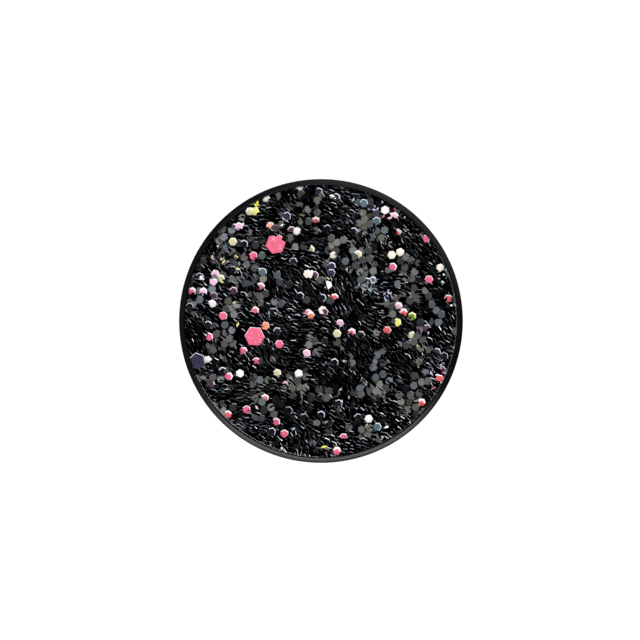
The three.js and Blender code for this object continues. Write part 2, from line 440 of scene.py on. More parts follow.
ACCENT_FILMS = {
    "rose": (0.87, 0.15, 0.27),
    "coral": (0.93, 0.15, 0.17),
    "orange": (1.0, 0.3, 0.18),
    "peach": (1.0, 0.52, 0.34),
    "pink": (0.98, 0.58, 0.8),
    "white": (1.0, 0.96, 0.97),
    "cream": (0.96, 0.88, 0.74),
    "yellow": (0.97, 0.9, 0.22),
    "straw": (0.68, 0.64, 0.4),
    "green": (0.16, 0.26, 0.015),
    "plum": (0.09, 0.035, 0.07),
    "lavender": (0.035, 0.032, 0.07),
    "ice": (0.1, 0.15, 0.18),
    "jet": (0.004, 0.004, 0.008),
}
# Painted highlights on the accents' pale edges, on the sides turned toward the glint direction; other
# accents take the pinkish one
ACCENT_EDGE_PAINTED_GLINTS = {"plum": (0.75, 0.62, 0.72), "lavender": (0.8, 0.78, 0.9), "ice": (0.75, 0.85, 0.9),
                "jet": (0.62, 0.64, 0.8), "green": (0.8, 0.9, 0.4), "yellow": (1.0, 0.98, 0.6),
                "straw": (0.9, 0.88, 0.7)}
PINKISH_PAINTED_GLINT = (1.0, 0.86, 0.9)
# How far an accent flake's painted pale highlight edge reaches over its front
DARK_LIPS = (0.06, 0.09, 0.12)
LIPS = (0.08, 0.14, 0.22, 0.3)
DARK_BELOW = 0.2

# Accents, bright flakes and dark ones with a painted pale highlight edge: (share of the radius, degrees)
ACCENTS = {
    "rose": [(0.69, 136), (0.66, 37), (0.85, 21), (0.24, -20), (0.51, 150), (0.83, 188), (0.35, 209),
        (0.61, 201), (0.79, 211), (0.56, 212), (0.85, 230), (0.81, 246), (0.87, 252), (0.87, -79),
        (0.98, 38), (0.49, 171), (0.96, -83), (0.72, 177), (0.97, 167)],
    "coral": [(0.74, 93), (0.86, 49), (0.95, 10), (0.49, -8), (0.7, 234), (0.97, 225), (0.95, -39),
        (0.97, -26), (0.61, 6), (0.2, 60)],
    "peach": [(0.79, 118)],
    "orange": [(0.11, 148), (0.41, 185), (0.085, 152)],
    "pink": [(0.92, 131), (0.58, 11), (0.14, -7), (0.85, 156), (0.84, 160), (0.26, 246), (0.94, 55),
        (0.89, 166)],
    "white": [(0.68, 105), (0.81, 171), (0.88, 199), (0.71, 213), (0.42, 247), (0.8, -64), (0.94, 60),
        (0.27, 79), (0.35, 102), (0.99, 99)],
    "cream": [(0.77, 41), (0.71, 43), (0.96, 24), (0.08, 81), (0.49, 79), (0.98, 114), (0.36, 106)],
    "yellow": [(0.56, -1), (0.94, 121)],
    "straw": [(0.68, -9), (0.96, 123), (0.87, 138), (0.56, 61), (0.53, 98), (0.8, 157), (0.15, -38),
        (0.5, 230)],
    "green": [(0.67, 3)],
    "plum": [(0.78, -4), (0.96, -22), (0.68, 161), (0.81, 167), (0.34, 98), (0.93, 210), (0.07, 70),
        (0.7, 108)],
    "lavender": [(0.95, 91), (0.41, 79), (0.36, 78), (0.45, 40), (0.81, 108), (0.88, -15)],
    "ice": [(0.88, -62), (0.92, 70), (0.48, 38), (0.56, 140), (0.84, 61)],
    "jet": [(0.68, 86), (0.48, 115), (0.17, 87), (0.24, 130), (0.97, 174), (0.95, 160), (0.83, 182),
        (0.33, 193), (0.35, 169), (0.81, 207), (0.7, 250), (0.72, 260), (0.69, 270), (0.32, -72),
        (0.31, -19), (0.94, -16), (0.8, 135), (0.75, 150), (0.89, 246), (0.76, -69), (0.62, -78),
        (0.915, 83), (0.7, 70)],
}
# Large flakes: (share, degrees, film, radius, degrees of spin, torn at one corner)
BIG_FLAKES = [(0.655, 120.5, "rose", BIG_FLAKE_RADIUS, -10, True),
              (0.5, 193, "rose", BIG_FLAKE_RADIUS, 4, False), (0.955, 198, "lavender", 1.15, 20, False)]
HEXAGON = [(math.cos(math.radians(60 * i)), math.sin(math.radians(60 * i))) for i in range(6)]
TORN_HEXAGON = [(1, 0), (0.62, 0.3), (0.78, 0.58), (0.5, 0.87), (0.22, 0.66), (-0.05, 0.84),
                (-0.5, 0.87), (-1, 0), (-0.5, -0.87), (0.5, -0.87)]
CRUMB = [(-1, -0.2), (-0.1, 0.45), (1, 0.1), (0.3, -0.4)]
STREAK = [(-1, 0), (0, 0.09), (1, 0.02), (0, -0.06)]
# Clusters of crumbs: (share, degrees, reach in mm, how many, films)
SPARK_CLUSTERS = [
    (0.96, 57, 1.4, 14, ("white", "pink", "rose")), (0.45, 36, 1.2, 12, ("ice", "white", "ice")),
    (0.52, 19, 1.3, 10, ("violet", "ice")), (0.9, 66, 1.6, 10, ("ice", "violet")),
    (0.76, 146, 1.8, 12, ("ice", "white", "straw")), (0.95, 121, 1.1, 8, ("yellow", "straw")),
    (0.98, 160, 1.2, 5, ("white", "straw")), (0.35, 168, 0.5, 3, ("ice", "white")),
    (0.5, 241, 0.7, 3, ("straw", "pink")), (0.35, -58, 0.4, 3, ("white", "ice")),
    (0.62, -78, 0.6, 3, ("white", "violet")), (0.925, -88, 0.8, 6, ("straw", "yellow")),
    (0.915, 83, 0.6, 4, ("white", "violet")), (0.75, 50, 0.8, 4, ("ice", "white")),
    (0.45, 26, 0.6, 4, ("white", "violet")), (0.78, 111, 0.6, 5, ("violet", "white")),
    (0.7, -14, 0.8, 4, ("straw",)), (0.93, -18, 0.8, 5, ("violet", "white", "rose")),
    (0.88, 150, 1.2, 6, ("pink", "white", "straw")), (0.12, 150, 0.8, 4, ("rose", "pink")),
    (0.98, 20, 2.0, 8, ("white", "pink", "ice")), (0.99, -28, 2.2, 10, ("white", "rose", "violet")),
    (0.99, 134, 1.4, 7, ("white", "ice", "pink")), (0.99, 250, 1.6, 6, ("white", "pink")),
    (0.99, -62, 1.8, 7, ("white", "ice")), (0.97, 6, 1.2, 5, ("white", "violet")),
    (0.0, 0, 17.0, 40, ("ice", "violet", "straw", "pink")),
]
SPARK_FILMS = {"white": (1.0, 0.97, 0.99), "pink": (1.0, 0.62, 0.76), "rose": (0.87, 0.2, 0.35),
               "ice": (0.35, 0.46, 0.52), "violet": (0.42, 0.38, 0.6), "straw": (0.72, 0.68, 0.36),
               "yellow": (0.92, 0.85, 0.1)}
# Where flat grey flakes gather: (share, degrees, reach as a share, how bluish)
GREY_PATCHES = [
    (0.77, 144, 0.22, 0.7), (0.6, 150, 0.15, 0.7), (0.89, 147, 0.12, 0.3), (0.9, 156, 0.1, 0.3),
    (0.96, 137, 0.14, 0.6), (0.88, 95, 0.14, 0.1), (0.9, 63, 0.17, 0.9), (0.81, 57, 0.12, 0.8),
    (0.54, 77, 0.14, 0.1), (0.5, 63, 0.14, 0.3), (0.62, 46, 0.18, 0.2), (0.75, 34, 0.16, 0.0),
    (0.6, 17, 0.17, 0.2), (0.7, 15, 0.12, 0.1), (0.7, -2, 0.1, 0.6), (0.75, -12, 0.09, 0.0),
    (0.85, 3, 0.12, 0.6), (0.97, -5, 0.08, 0.9), (0.2, 130, 0.09, 0.1), (0.48, 161, 0.12, 0.2),
    (0.95, 171, 0.11, 0.9), (0.76, 182, 0.12, 0.5), (0.73, 197, 0.13, 0.2), (0.95, 207, 0.09, 0.1),
    (0.76, 239, 0.15, 0.2), (0.63, 225, 0.1, 0.1), (0.48, 250, 0.12, 0.3), (0.61, 251, 0.09, 0.2),
    (0.55, 277, 0.13, 0.1), (0.55, -42, 0.11, 0.9), (0.64, -59, 0.1, 0.9), (0.68, -48, 0.12, 0.2),
    (0.89, -42, 0.14, 0.1), (0.85, -31, 0.11, 0.1), (0.86, -71, 0.1, 0.2), (0.97, -65, 0.08, 0.2),
    (0.17, -49, 0.1, 0.1), (0.19, 263, 0.08, 0.0), (0.55, 107, 0.09, 0.1), (0.66, 110, 0.1, 0.3),
    (0.7, 133, 0.14, 0.4), (0.76, 113, 0.1, 0.3), (0.58, 59, 0.15, 0.4), (0.71, 46, 0.1, 0.2),
    (0.7, 173, 0.1, 0.4), (0.7, -9, 0.11, 0.2), (0.42, 45, 0.1, 0.8), (0.76, 23, 0.1, 0.1),
    (0.51, 11, 0.11, 0.2), (0.71, 188, 0.13, 0.4), (0.76, 67, 0.09, 0.3), (0.97, 222, 0.1, 0.3),
    (0.95, 108, 0.08, 0.2), (0.71, 98, 0.09, 0.2),
]
# Where the painted highlights on the black flakes' edges are mostly held back: (share, degrees, reach as a
# share)
QUIET_PATCHES = [
    (0.42, 136, 0.15), (0.43, 225, 0.2), (0.46, -45, 0.22), (0.76, 247, 0.14), (0.3, 200, 0.12),
    (0.7, -28, 0.12), (0.66, 76, 0.12), (0.3, 15, 0.12), (0.6, 270, 0.12), (0.73, 262, 0.16),
    (0.9, 262, 0.12), (0.5, 280, 0.14), (0.32, -72, 0.16), (0.86, 215, 0.12), (0.73, 7, 0.1),
    (0.16, 135, 0.14), (0.34, 198, 0.12), (0.97, 188, 0.1),
]


def on_face(share, degrees):
    """The place on the face at a share of the cavity's radius, so many degrees round from +X."""
    angle = math.radians(degrees)
    return Vector((math.cos(angle), math.sin(angle))) * share * CAVITY_RADIUS


def clip_to_wall(outline, centre, across, along):
    """Cuts a flake's outline by the cavity wall's tangent plane, so that it ends at the wall."""
    flat = Vector((centre.x, centre.z))
    if flat.length < TINY:
        return outline
    outward = Vector((flat.x, 0, flat.y)).normalized()
    limit = CAVITY_RADIUS - WALL_GAP - centre.dot(outward)
    depth = [limit - (across * u + along * v).dot(outward) for u, v in outline]
    if min(depth) >= 0:
        return outline
    kept = []
    for i, (u, v) in enumerate(outline):
        j = (i + 1) % len(outline)
        if depth[i] >= 0:
            kept.append((u, v))
        if (depth[i] >= 0) != (depth[j] >= 0):
            share = depth[i] / (depth[i] - depth[j])
            kept.append((u + (outline[j][0] - u) * share, v + (outline[j][1] - v) * share))
    return kept


def cloud(x, z, per_mm, seed):
    """Smooth noise over the face, about -1 to 1."""
    return noise.noise(Vector((x * per_mm, z * per_mm, seed)))


def painted_glint_angle(x, z):
    """The way round that the painted highlight on a cut edge faces, swaying slowly over the face."""
    return math.radians(PAINTED_GLINT_DIRECTION + PAINTED_GLINT_SWAY * cloud(x, z, 0.13, 2.0))


class Flakes:
    """A heap of thin flakes in one mesh, each with one material on its faces and a painted highlight on the
    sides of its cut edge turned toward the glint direction.
    """

    def __init__(self, name, materials, lit_sides=1):
        self.name = name
        self.materials = materials
        self.points, self.faces, self.slots = [], [], []
        self.lit_sides = lit_sides

    def edge_slots(self, centre, corners, edge, far_edge):
        """The painted highlight's slot for the sides turned most toward the painted glint direction, and
        the far edge's for the others.
        """
        glint_angle = painted_glint_angle(centre.x, centre.z)
        toward = Vector((math.cos(glint_angle), 0, math.sin(glint_angle)))
        turned = []
        for i, corner in enumerate(corners):
            outward = ((corner + corners[(i + 1) % len(corners)]) / 2 - centre).normalized()
            turned.append(outward.dot(toward))
        least = sorted(turned)[-min(self.lit_sides, len(turned))]
        return [edge if turn >= least else far_edge for turn in turned]

    def add(self, centre, tilt, lean, spin, radius, film, edge, outline=HEXAGON,
            thickness=FLAKE_THICKNESS, lip=0.0, far_edge=None):
        """Adds a flake. Its angles are in radians, and film, edge and far_edge are places in materials.

        tilt is from the face plane, and lean the way round that the flake's front turns."""
        turn = Matrix.Rotation(spin, 3, "Y")
        axis = Vector((-math.sin(lean), 0, math.cos(lean)))
        tip = Matrix.Rotation(tilt, 3, axis)
        across = tip @ turn @ Vector((1, 0, 0))
        along = tip @ turn @ Vector((0, 0, 1))
        front = tip @ Vector((0, -1, 0))
        outline = [(u * radius, v * radius) for u, v in outline]
        outline = clip_to_wall(outline, centre, across, along)
        if len(outline) < 3:
            return
        first = len(self.points)
        count = len(outline)
        rings = [(1.0, 0.5), (1.0, -0.5)]
        if lip:
            drop = min(0.8, 0.5 * lip / thickness)
            rings = [(1 - lip / radius, 0.5), (1.0, 0.5 - drop), (1.0, -0.5)]
        solid = []
        for share, side in rings:
            lift = front * thickness * side
            solid += [centre + (across * u + along * v) * share + lift for u, v in outline]
        cover = min(point.y - resin_front_y(math.hypot(point.x, point.z)) for point in solid)
        sunk = Vector((0, max(0.0, LEAST_COVER - cover), 0))
        self.points += [point + sunk for point in solid]
        self.faces.append([first + i for i in range(count)])
        self.faces.append([first + (len(rings) - 1) * count + i for i in reversed(range(count))])
        self.slots += [film, film]
        corners = [centre + across * u + along * v for u, v in outline]
        edges = self.edge_slots(centre, corners, edge, film if far_edge is None else far_edge)
        for ring in range(len(rings) - 1):
            start = first + ring * count
            for i in range(count):
                j = (i + 1) % count
                self.faces.append([start + i, start + count + i, start + count + j, start + j])
                self.slots.append(edges[i])

    def finish(self):
        made = mesh_piece(self.name, self.points, self.faces, sharp_over=25.0)
        for material in self.materials:
            made.data.materials.append(material)
        made.data.polygons.foreach_set("material_index", self.slots)
        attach(made, "pin")
        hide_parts("glitter_layer")


def scattered(rng, spacing, tries=24):
    """Points on the face at least a spacing apart, found by throwing darts on a grid."""
    cell = spacing / math.sqrt(2)
    grid, found = {}, []
    past_wall = 0.25
    reach = CAVITY_RADIUS + past_wall
    for _ in range(int(tries * (reach / spacing) ** 2 * math.pi)):
        spot = Vector((rng.uniform(-reach, reach), rng.uniform(-reach, reach)))
        if spot.length > reach:
            continue
        key = (int(spot.x // cell), int(spot.y // cell))
        near = [grid.get((key[0] + i, key[1] + j)) for i in range(-2, 3) for j in range(-2, 3)]
        if all(other is None or (other - spot).length >= spacing for other in near):
            grid[key] = spot
            found.append(spot)
    return found


def reaches_away(spot, share, degrees, reach):
    """How far a place is from a patch's middle, counted in the patch's reach."""
    return (spot - on_face(share, degrees)).length / (reach * CAVITY_RADIUS)


def greyness(spot):
    """How much a place belongs to the patches of grey flakes, from 0 to 1, and how bluish they are."""
    most, bluish = 0.0, 0.4
    for *patch, blue in GREY_PATCHES:
        nearness = 1.15 - reaches_away(spot, *patch)
        if nearness > most:
            most, bluish = nearness, blue
    ragged = 0.55 * cloud(spot.x, spot.y, 0.45, 4.0)
    return max(0.0, min(1.0, most + ragged)), bluish


def quietness(spot):
    """How much the painted highlights on the black flakes' edges are held back at a place, from 0 to 1."""
    nearest = min(reaches_away(spot, *patch) for patch in QUIET_PATCHES)
    ragged = 0.4 * cloud(spot.x, spot.y, 0.4, 31.0)
    return max(0.0, min(1.0, 1.3 - nearest + ragged))


def leaning(spot, rng):
    """The way round that a black flake leans: down and to the left, swaying slowly over the face."""
    sway = LEAN_SWAY * cloud(spot.x, spot.y, 0.16, 9.0)
    return math.radians(LEAN_DIRECTION + sway + rng.gauss(0, 22))


def film_set(name, colours, roughness, specular):
    return [film_material(f"{name}_{i}", c, roughness, specular) for i, c in enumerate(colours)]


def make_black_flakes(rng, accents):
    """Two layers of leaning black flakes. The upper one leaves room for accents and grey patches."""
    films = film_set("film_black", BLACK_FILMS, 0.5, 0.0)
    edges = film_set("painted_glint_edge_black", BLACK_EDGE_PAINTED_GLINTS, 0.5, 0.2)
    heap = Flakes("flakes_black", films + edges)
    accent_room, usual_tilt, least_tilt = 0.56, 38, 6.0
    for is_upper, spacing, below_top in ((False, 0.6, 0.34), (True, 0.43, 0.08)):
        for spot in scattered(rng, spacing):
            clear_of = min((spot - at).length for at in accents)
            grey, _ = greyness(spot)
            if is_upper and (clear_of < accent_room or rng.random() < grey * 0.85):
                continue
            tilt = math.radians(max(least_tilt, rng.gauss(usual_tilt - 18 * grey, 12)))
            lean = leaning(spot, rng)
            depth = GLITTER_TOP_Y + below_top + 0.32 * math.sin(tilt) + rng.uniform(0, 0.1)
            film = rng.choices(range(len(films)), BLACK_FILM_SHARES)[0]
            # The edge material is a painted highlight on the sides turned toward the glint direction; in
            # the quiet patches it is held to the darkest.
            edge = len(films) + rng.choices(range(len(edges)), BLACK_EDGE_SHARES)[0]
            if rng.random() < 0.8 * quietness(spot):
                edge = len(films)
            centre = Vector((spot.x, depth, spot.y))
            heap.lit_sides = rng.choices((1, 2, 3), (80, 16, 4))[0]
            spin = math.radians(30 + rng.gauss(0, 16)) - painted_glint_angle(spot.x, spot.y)
            heap.add(centre, tilt, lean, spin, FLAKE_RADIUS, film, edge,
                     thickness=rng.uniform(0.07, 0.14))
    heap.finish()


def make_grey_flakes(rng, accents):
    """Grey flakes that lie nearly flat, gathered in patches. Their grey is partly the film's own tone and
    partly a painted reflection.
    """
    shades = len(WARM_GREY_FILMS_AND_REFLECTION)
    films = film_set("film_grey_and_painted_reflection", WARM_GREY_FILMS_AND_REFLECTION + COOL_GREY_FILMS_AND_REFLECTION + MAUVE_GREY_FILMS_AND_REFLECTION, 0.35, 0.15)
    heap = Flakes("flakes_grey", films + film_set("painted_shade_and_glint_edge_grey", GREY_EDGE_PAINTED_SHADE_AND_GLINTS, 0.5, 0.3))
    accent_room, strays = 0.5, 0.05
    for spot in scattered(rng, 0.8):
        grey, bluish = greyness(spot)
        clear_of = min((spot - at).length for at in accents)
        if clear_of < accent_room or rng.random() > strays + (1 - strays) * grey:
            continue
        tilt = math.radians(abs(rng.gauss(0, 11)))
        shade = rng.choices(range(shades), GREY_SHARES)[0]
        if rng.random() < MAUVE_SHARE:
            shade += 2 * shades
        elif rng.random() < bluish:
            shade += shades
        centre = Vector((spot.x, GLITTER_TOP_Y + rng.uniform(0.02, 0.3), spot.y))
        # The lip takes painted highlights on the sides turned toward the glint direction and a painted dark
        # shade on the rest.
        heap.add(centre, tilt, rng.uniform(0, math.tau), rng.uniform(0, math.tau), FLAKE_RADIUS,
                 shade, len(films) + rng.randint(1, 2), lip=0.06, far_edge=len(films))
    heap.finish()


def make_accent_flakes(rng, where):
    """The accents: one heap for each film colour."""
    for colour, film in ACCENT_FILMS.items():
        # Each accent's edge material is a painted highlight, put on three sides turned toward the painted
        # glint direction.
        edge = ACCENT_EDGE_PAINTED_GLINTS.get(colour, PINKISH_PAINTED_GLINT)
        materials = [film_material(f"film_{colour}", film, 0.3, 0.35),
                     film_material(f"edge_{colour}", edge, 0.4, 0.4)]
        heap = Flakes(f"flakes_{colour}", materials, lit_sides=3)
        lips = DARK_LIPS if max(film) < DARK_BELOW else LIPS
        for spot in where[colour]:
            tilt = math.radians(abs(rng.gauss(13, 9)))
            lean = math.radians(rng.gauss(255, 40))
            centre = Vector((spot.x, GLITTER_TOP_Y + 0.45 * math.sin(tilt), spot.y))
            heap.add(centre, tilt, lean, rng.uniform(0, math.tau), FLAKE_RADIUS, 0, 1,
                     thickness=0.14, lip=rng.choice(lips))
        for share, degrees, big_colour, radius, spin, is_torn in BIG_FLAKES:
            if big_colour == colour:
                spot = on_face(share, degrees)
                centre = Vector((spot.x, GLITTER_TOP_Y - 0.02, spot.y))
                outline = TORN_HEXAGON if is_torn else HEXAGON
                heap.add(centre, math.radians(3), 0, math.radians(spin), radius, 0, 1, outline, lip=0.07)
        heap.finish()


def make_sparks(rng):
    """Crumbs of bright film, in clusters and alone, and pale streaks on the large rose flakes."""
    colours = sorted(SPARK_FILMS)
    heap = Flakes("flakes_sparks", [film_material(f"spark_{c}", SPARK_FILMS[c], 0.3, 0.4) for c in colours])
    for share, degrees, reach, count, choices in SPARK_CLUSTERS:
        for _ in range(count):
            spot = on_face(share, degrees) + Vector((rng.gauss(0, reach / 2), rng.gauss(0, reach / 2)))
            if spot.length > CAVITY_RADIUS - 0.1:
                continue
            colour = colours.index(rng.choice(choices))
            tilt = math.radians(rng.uniform(0, 30))
            centre = Vector((spot.x, GLITTER_TOP_Y + rng.uniform(0, 0.1) + 0.3 * math.sin(tilt), spot.y))
            lean, spin = rng.uniform(0, math.tau), rng.uniform(0, math.tau)
            heap.add(centre, tilt, lean, spin, rng.uniform(0.2, 0.42), colour, colour, CRUMB, 0.06)
    pink = colours.index("pink")
    for share, degrees, _, radius, _, _ in BIG_FLAKES[:2]:
        for _ in range(7):
            aside = Vector((rng.uniform(-0.6, 0.6), rng.uniform(-0.6, 0.6)))
            spot = on_face(share, degrees) + aside * radius
            centre = Vector((spot.x, GLITTER_TOP_Y - 0.1, spot.y))
            spin = math.radians(rng.gauss(40, 35))
            heap.add(centre, 0, 0, spin, rng.uniform(0.25, 0.6), pink, pink, STREAK, 0.03)
    heap.finish()


def make_glitter():
    """All the heaps, from one seed. A large flake counts as seven accents, to keep its front free."""
    rng = random.Random(11)
    where = {colour: [on_face(*at) for at in spots] for colour, spots in ACCENTS.items()}
    accents = [spot for spots in where.values() for spot in spots]
    for share, degrees, _, radius, _, _ in BIG_FLAKES:
        middle = on_face(share, degrees)
        accents += [middle] + [middle + Vector((math.cos(a), math.sin(a))) * radius * 0.6 for a in range(6)]
    make_black_flakes(rng, accents)
    make_grey_flakes(rng, accents)
    make_accent_flakes(rng, where)
    make_sparks(rng)


# ---------------- posts and clutches


def make_post(side):
    """A post: pad, filleted foot, shank, the neck that a clutch's jaws grip, and point."""
    low, high = box_mm(f"{side}_post")
    x = (low.x + high.x) / 2
    base, tip = low.y, high.y
    pad = (high.x - low.x) / 2
    shank = POST_DIAMETER / 2
    pad_top = base + 0.33
    pad_round, foot_round = 0.12, 0.45
    neck_top = tip - 1.2
    neck_bottom = neck_top - 0.5
    neck = shank - 0.14
    shoulder = shank - 0.05
    profile = [(0, base), (pad - 0.05, base)]
    profile += arc(pad - pad_round, pad_top - pad_round, pad_round, 0, 90, 5)
    profile += arc(shank + foot_round, pad_top + foot_round, foot_round, -90, -180, 10)
    profile += [(shank, 3.0), (shank, neck_bottom - 0.16), (shoulder, neck_bottom - 0.1),
                (neck, neck_bottom), (neck, neck_top), (shoulder, neck_top + 0.1),
                (shank, neck_top + 0.16), (shank, tip - 0.92), (shank - 0.03, tip - 0.84),
                (0.12, tip - 0.12), (0.07, tip - 0.04), (0, tip)]
    points, faces, _ = spun(profile, segments=64, centre_x=x)
    made = mesh_piece(f"{side}_post_pin", points, faces)
    place(made, "pin", BLACK_PLATE, "black_plate", f"{side}_post")


def clutch_face(side):
    """The x of a clutch's middle, and the y of its face on the cloth."""
    low, high = box_mm(f"{side}_clutch_face_plate")
    return (low.x + high.x) / 2, low.y


def make_face_plate(side):
    """The disc that meets the cloth, with a ring pressed into it."""
    low, high = box_mm(f"{side}_clutch_face_plate")
    x, base = clutch_face(side)
    radius = (high.x - low.x) / 2
    lip, bevel = 0.12, 0.04
    profile = arc(CLUTCH_HOLE + lip, lip, lip, -90, -180, 4)
    profile += [(CLUTCH_HOLE, SHEET), (radius, SHEET), (radius, bevel), (radius - bevel, 0)]
    profile += [(4.1, 0), (3.95, 0.05), (3.65, 0.05), (3.5, 0)]
    points, faces, _ = spun(profile, 96, x, base)
    made = mesh_piece(f"{side}_face_disc", points, faces, sharp_over=20.0)
    place(made, f"{side}_clutch", NICKEL, "nickel", f"{side}_clutch_face_plate")


def make_shell(side):
    """The stamped shell: rolled edge, dish, and a dome with two windows."""
    low, high = box_mm(f"{side}_clutch_shell")
    x, base = clutch_face(side)
    radius = (high.x - low.x) / 2
    top = high.y - base
    dome, corner = 2.9, 0.6
    dish = 2 * SHEET + BOND_LINE
    roll, roll_y = 0.2, 1.3
    skirt, bend, foot, lip = 0.15, 0.15, 0.25, 0.08
    inner = radius - 2 * roll
    sill, head = 0.95, 4.5
    profile = [(inner, BOND_LINE)] + arc(radius - skirt, skirt + BOND_LINE, skirt, -90, 0, 4)
    profile += arc(radius - roll, roll_y, roll, 0, 180, 10)
    profile += arc(inner - bend, dish + bend, bend, 0, -90, 4)
    profile += arc(dome + foot, dish + foot, foot, -90, -180, 5)
    wall_out = len(profile)
    profile += [(dome, sill), (dome, head)]
    profile += arc(dome - corner, top - corner, corner, 8, 90, 8)
    profile += arc(CLUTCH_HOLE + lip, top - lip, lip, 90, 180, 3)
    profile += [(CLUTCH_HOLE, top - SHEET)]
    profile += arc(dome - corner, top - corner, corner - SHEET, 90, 8, 5)
    wall_in = len(profile)
    profile += [(dome - SHEET, head), (dome - SHEET, sill)]
    profile += [(dome - SHEET, SHEET + BOND_LINE), (inner, SHEET + BOND_LINE)]
    segments = 96
    window_half = segments // 8
    points, faces, rings = spun(profile, segments, x, base)
    out_low, out_high = rings[wall_out], rings[wall_out + 1]
    in_high, in_low = rings[wall_in], rings[wall_in + 1]
    gone = set()
    for middle in (segments // 4, 3 * segments // 4):
        columns = [(middle + j) % segments for j in range(-window_half, window_half)]
        for j in columns:
            k = (j + 1) % segments
            gone.add(frozenset((out_low[j], out_low[k], out_high[k], out_high[j])))
            gone.add(frozenset((in_low[j], in_low[k], in_high[k], in_high[j])))
            faces.append([out_low[j], out_low[k], in_low[k], in_low[j]])
            faces.append([out_high[j], out_high[k], in_high[k], in_high[j]])
        for j in (columns[0], (columns[-1] + 1) % segments):
            faces.append([out_low[j], out_high[j], in_high[j], in_low[j]])
    faces = [face for face in faces if frozenset(face) not in gone]
    made = mesh_piece(f"{side}_clutch_cap", points, faces)
    round_edges(made, width=0.05, over=50)
    place(made, f"{side}_clutch", NICKEL, "nickel", f"{side}_clutch_shell")


def sheet_piece(name, rows, closed=False):
    """A sheet through rows of points. In a closed one, each row's last point joins its first."""
    width = len(rows[0])
    faces = []
    for i in range(len(rows) - 1):
        for j in range(width if closed else width - 1):
            k = (j + 1) % width
            faces.append([i * width + j, i * width + k, (i + 1) * width + k, (i + 1) * width + j])
    return mesh_piece(name, [point for row in rows for point in row], faces)


def spline(points, steps):
    """A smooth line through points, by uniform Catmull-Rom pieces."""
    line = []
    last = len(points) - 1
    for i in range(last):
        p0, p1, p2, p3 = (Vector(points[min(max(k, 0), last)]) for k in (i - 1, i, i + 1, i + 2))
        for s in range(steps + (i == last - 1)):
            t = s / steps
            line.append(0.5 * (2 * p1 + (p2 - p0) * t + (2 * p0 - 5 * p1 + 4 * p2 - p3) * t * t
                               + (3 * p1 - p0 - 3 * p2 + p3) * t ** 3))
    return line


def height_on(line, z):
    """The height of a side line, given as (z, height) points, at a distance z."""
    for a, b in zip(line, line[1:]):
        if a.x <= z <= b.x:
            return a.y + (b.y - a.y) * (z - a.x) / max(b.x - a.x, TINY)
    return line[-1].y


# Side lines, as (z, y) from the clutch's face: a wing's jaw, arm and ear, and the bridge's bow
WING_LINE = [(0, 1.45), (1.2, 1.45), (1.85, 2), (2.2, 3.2), (3.1, 4), (4.4, 4.7), (5.7, 5.9), (7, 7.6)]
BOW_LINE = [(-1.9, 3.9), (-1.3, 4.35), (0, 4.5), (1.3, 4.35), (1.9, 3.9)]
WING_TIP = 6.7
JAW_GAP = 0.12
JAW_HALF = 1.2
STRIP_HALF = 1.6
EAR_HALF = 2.5
RIB_MIDDLE = 5.3
RIB_HEIGHT = 0.1
RIB_PITCH = 0.5


def wing_half_width(z):
    """Half of a wing's width: it widens over the jaw, and again from the strip to the round ear."""
    jaw, flare, widest = 0.6, 3.4, 4.7
    if z < jaw:
        return JAW_HALF + (STRIP_HALF - JAW_HALF) * (z - JAW_GAP) / (jaw - JAW_GAP)
    if z < flare:
        return STRIP_HALF
    if z < widest:
        t = (z - flare) / (widest - flare)
        return STRIP_HALF + (EAR_HALF - STRIP_HALF) * t * t * (3 - 2 * t)
    t = min(1.0, (z - widest) / (WING_TIP - widest))
    return EAR_HALF * max(0.16, (1 - t ** 2.3) ** 0.5)


def rib_height(x, z):
    """The grip ribs pressed across an ear, which fade toward its sides."""
    away = z - RIB_MIDDLE
    if abs(away) >= 2.5 * RIB_PITCH:
        return 0.0
    fade = max(0.0, 1 - (x / (EAR_HALF * 0.82)) ** 4)
    return RIB_HEIGHT * math.cos(away / RIB_PITCH * math.pi) ** 2 * fade


def make_wing(side, where):
    """A wing, from the notched jaw that meets the post to its ribbed ear."""
    node = f"{side}_clutch_{where}_wing"
    x_middle, base = clutch_face(side)
    flip = 1 if where == "upper" else -1
    line = spline(WING_LINE, 12)
    notch = POST_DIAMETER / 2 + 0.05
    rows, columns, count = [], 25, 110
    for i in range(count + 1):
        along = JAW_GAP + (WING_TIP - JAW_GAP) * math.sin(i / count * math.pi / 2) ** 1.05
        row = []
        for j in range(columns):
            x = (2 * j / (columns - 1) - 1) * wing_half_width(along)
            start = max(JAW_GAP, math.sqrt(max(0.0, notch ** 2 - x ** 2)))
            z = start + (along - JAW_GAP) * (WING_TIP - start) / (WING_TIP - JAW_GAP)
            row.append((x_middle + x * flip, base + height_on(line, z) + rib_height(x, z), z * flip))
        rows.append(row)
    made = sheet_piece(f"{side}_{where}_wing_leaf", rows)
    thicken(made, even=True)
    round_edges(made, width=0.06, over=60, sharp_over=70.0)
    place(made, node, SPRING, "spring_steel", node)


def make_bridge(side):
    """The spring's bowed middle, with a round hole for the post."""
    x_middle, base = clutch_face(side)
    line = spline(BOW_LINE, 12)
    half_length = BOW_LINE[-1][0]
    rings, around = 12, 96
    rows = []
    for i in range(rings + 1):
        row = []
        for j in range(around):
            angle = 2 * math.pi * j / around
            c, s = math.cos(angle), math.sin(angle)
            reach = min(STRIP_HALF / max(abs(c), TINY), half_length / max(abs(s), TINY))
            r = CLUTCH_HOLE + (reach - CLUTCH_HOLE) * i / rings
            row.append((x_middle + r * c, base + height_on(line, r * s), r * s))
        rows.append(row)
    made = sheet_piece(f"{side}_spring_bow", rows, closed=True)
    thicken(made)
    round_edges(made, width=0.05, over=50)
    place(made, f"{side}_clutch", SPRING, "spring_steel", f"{side}_clutch_spring_bridge")


# ---------------- camera, lights and floor


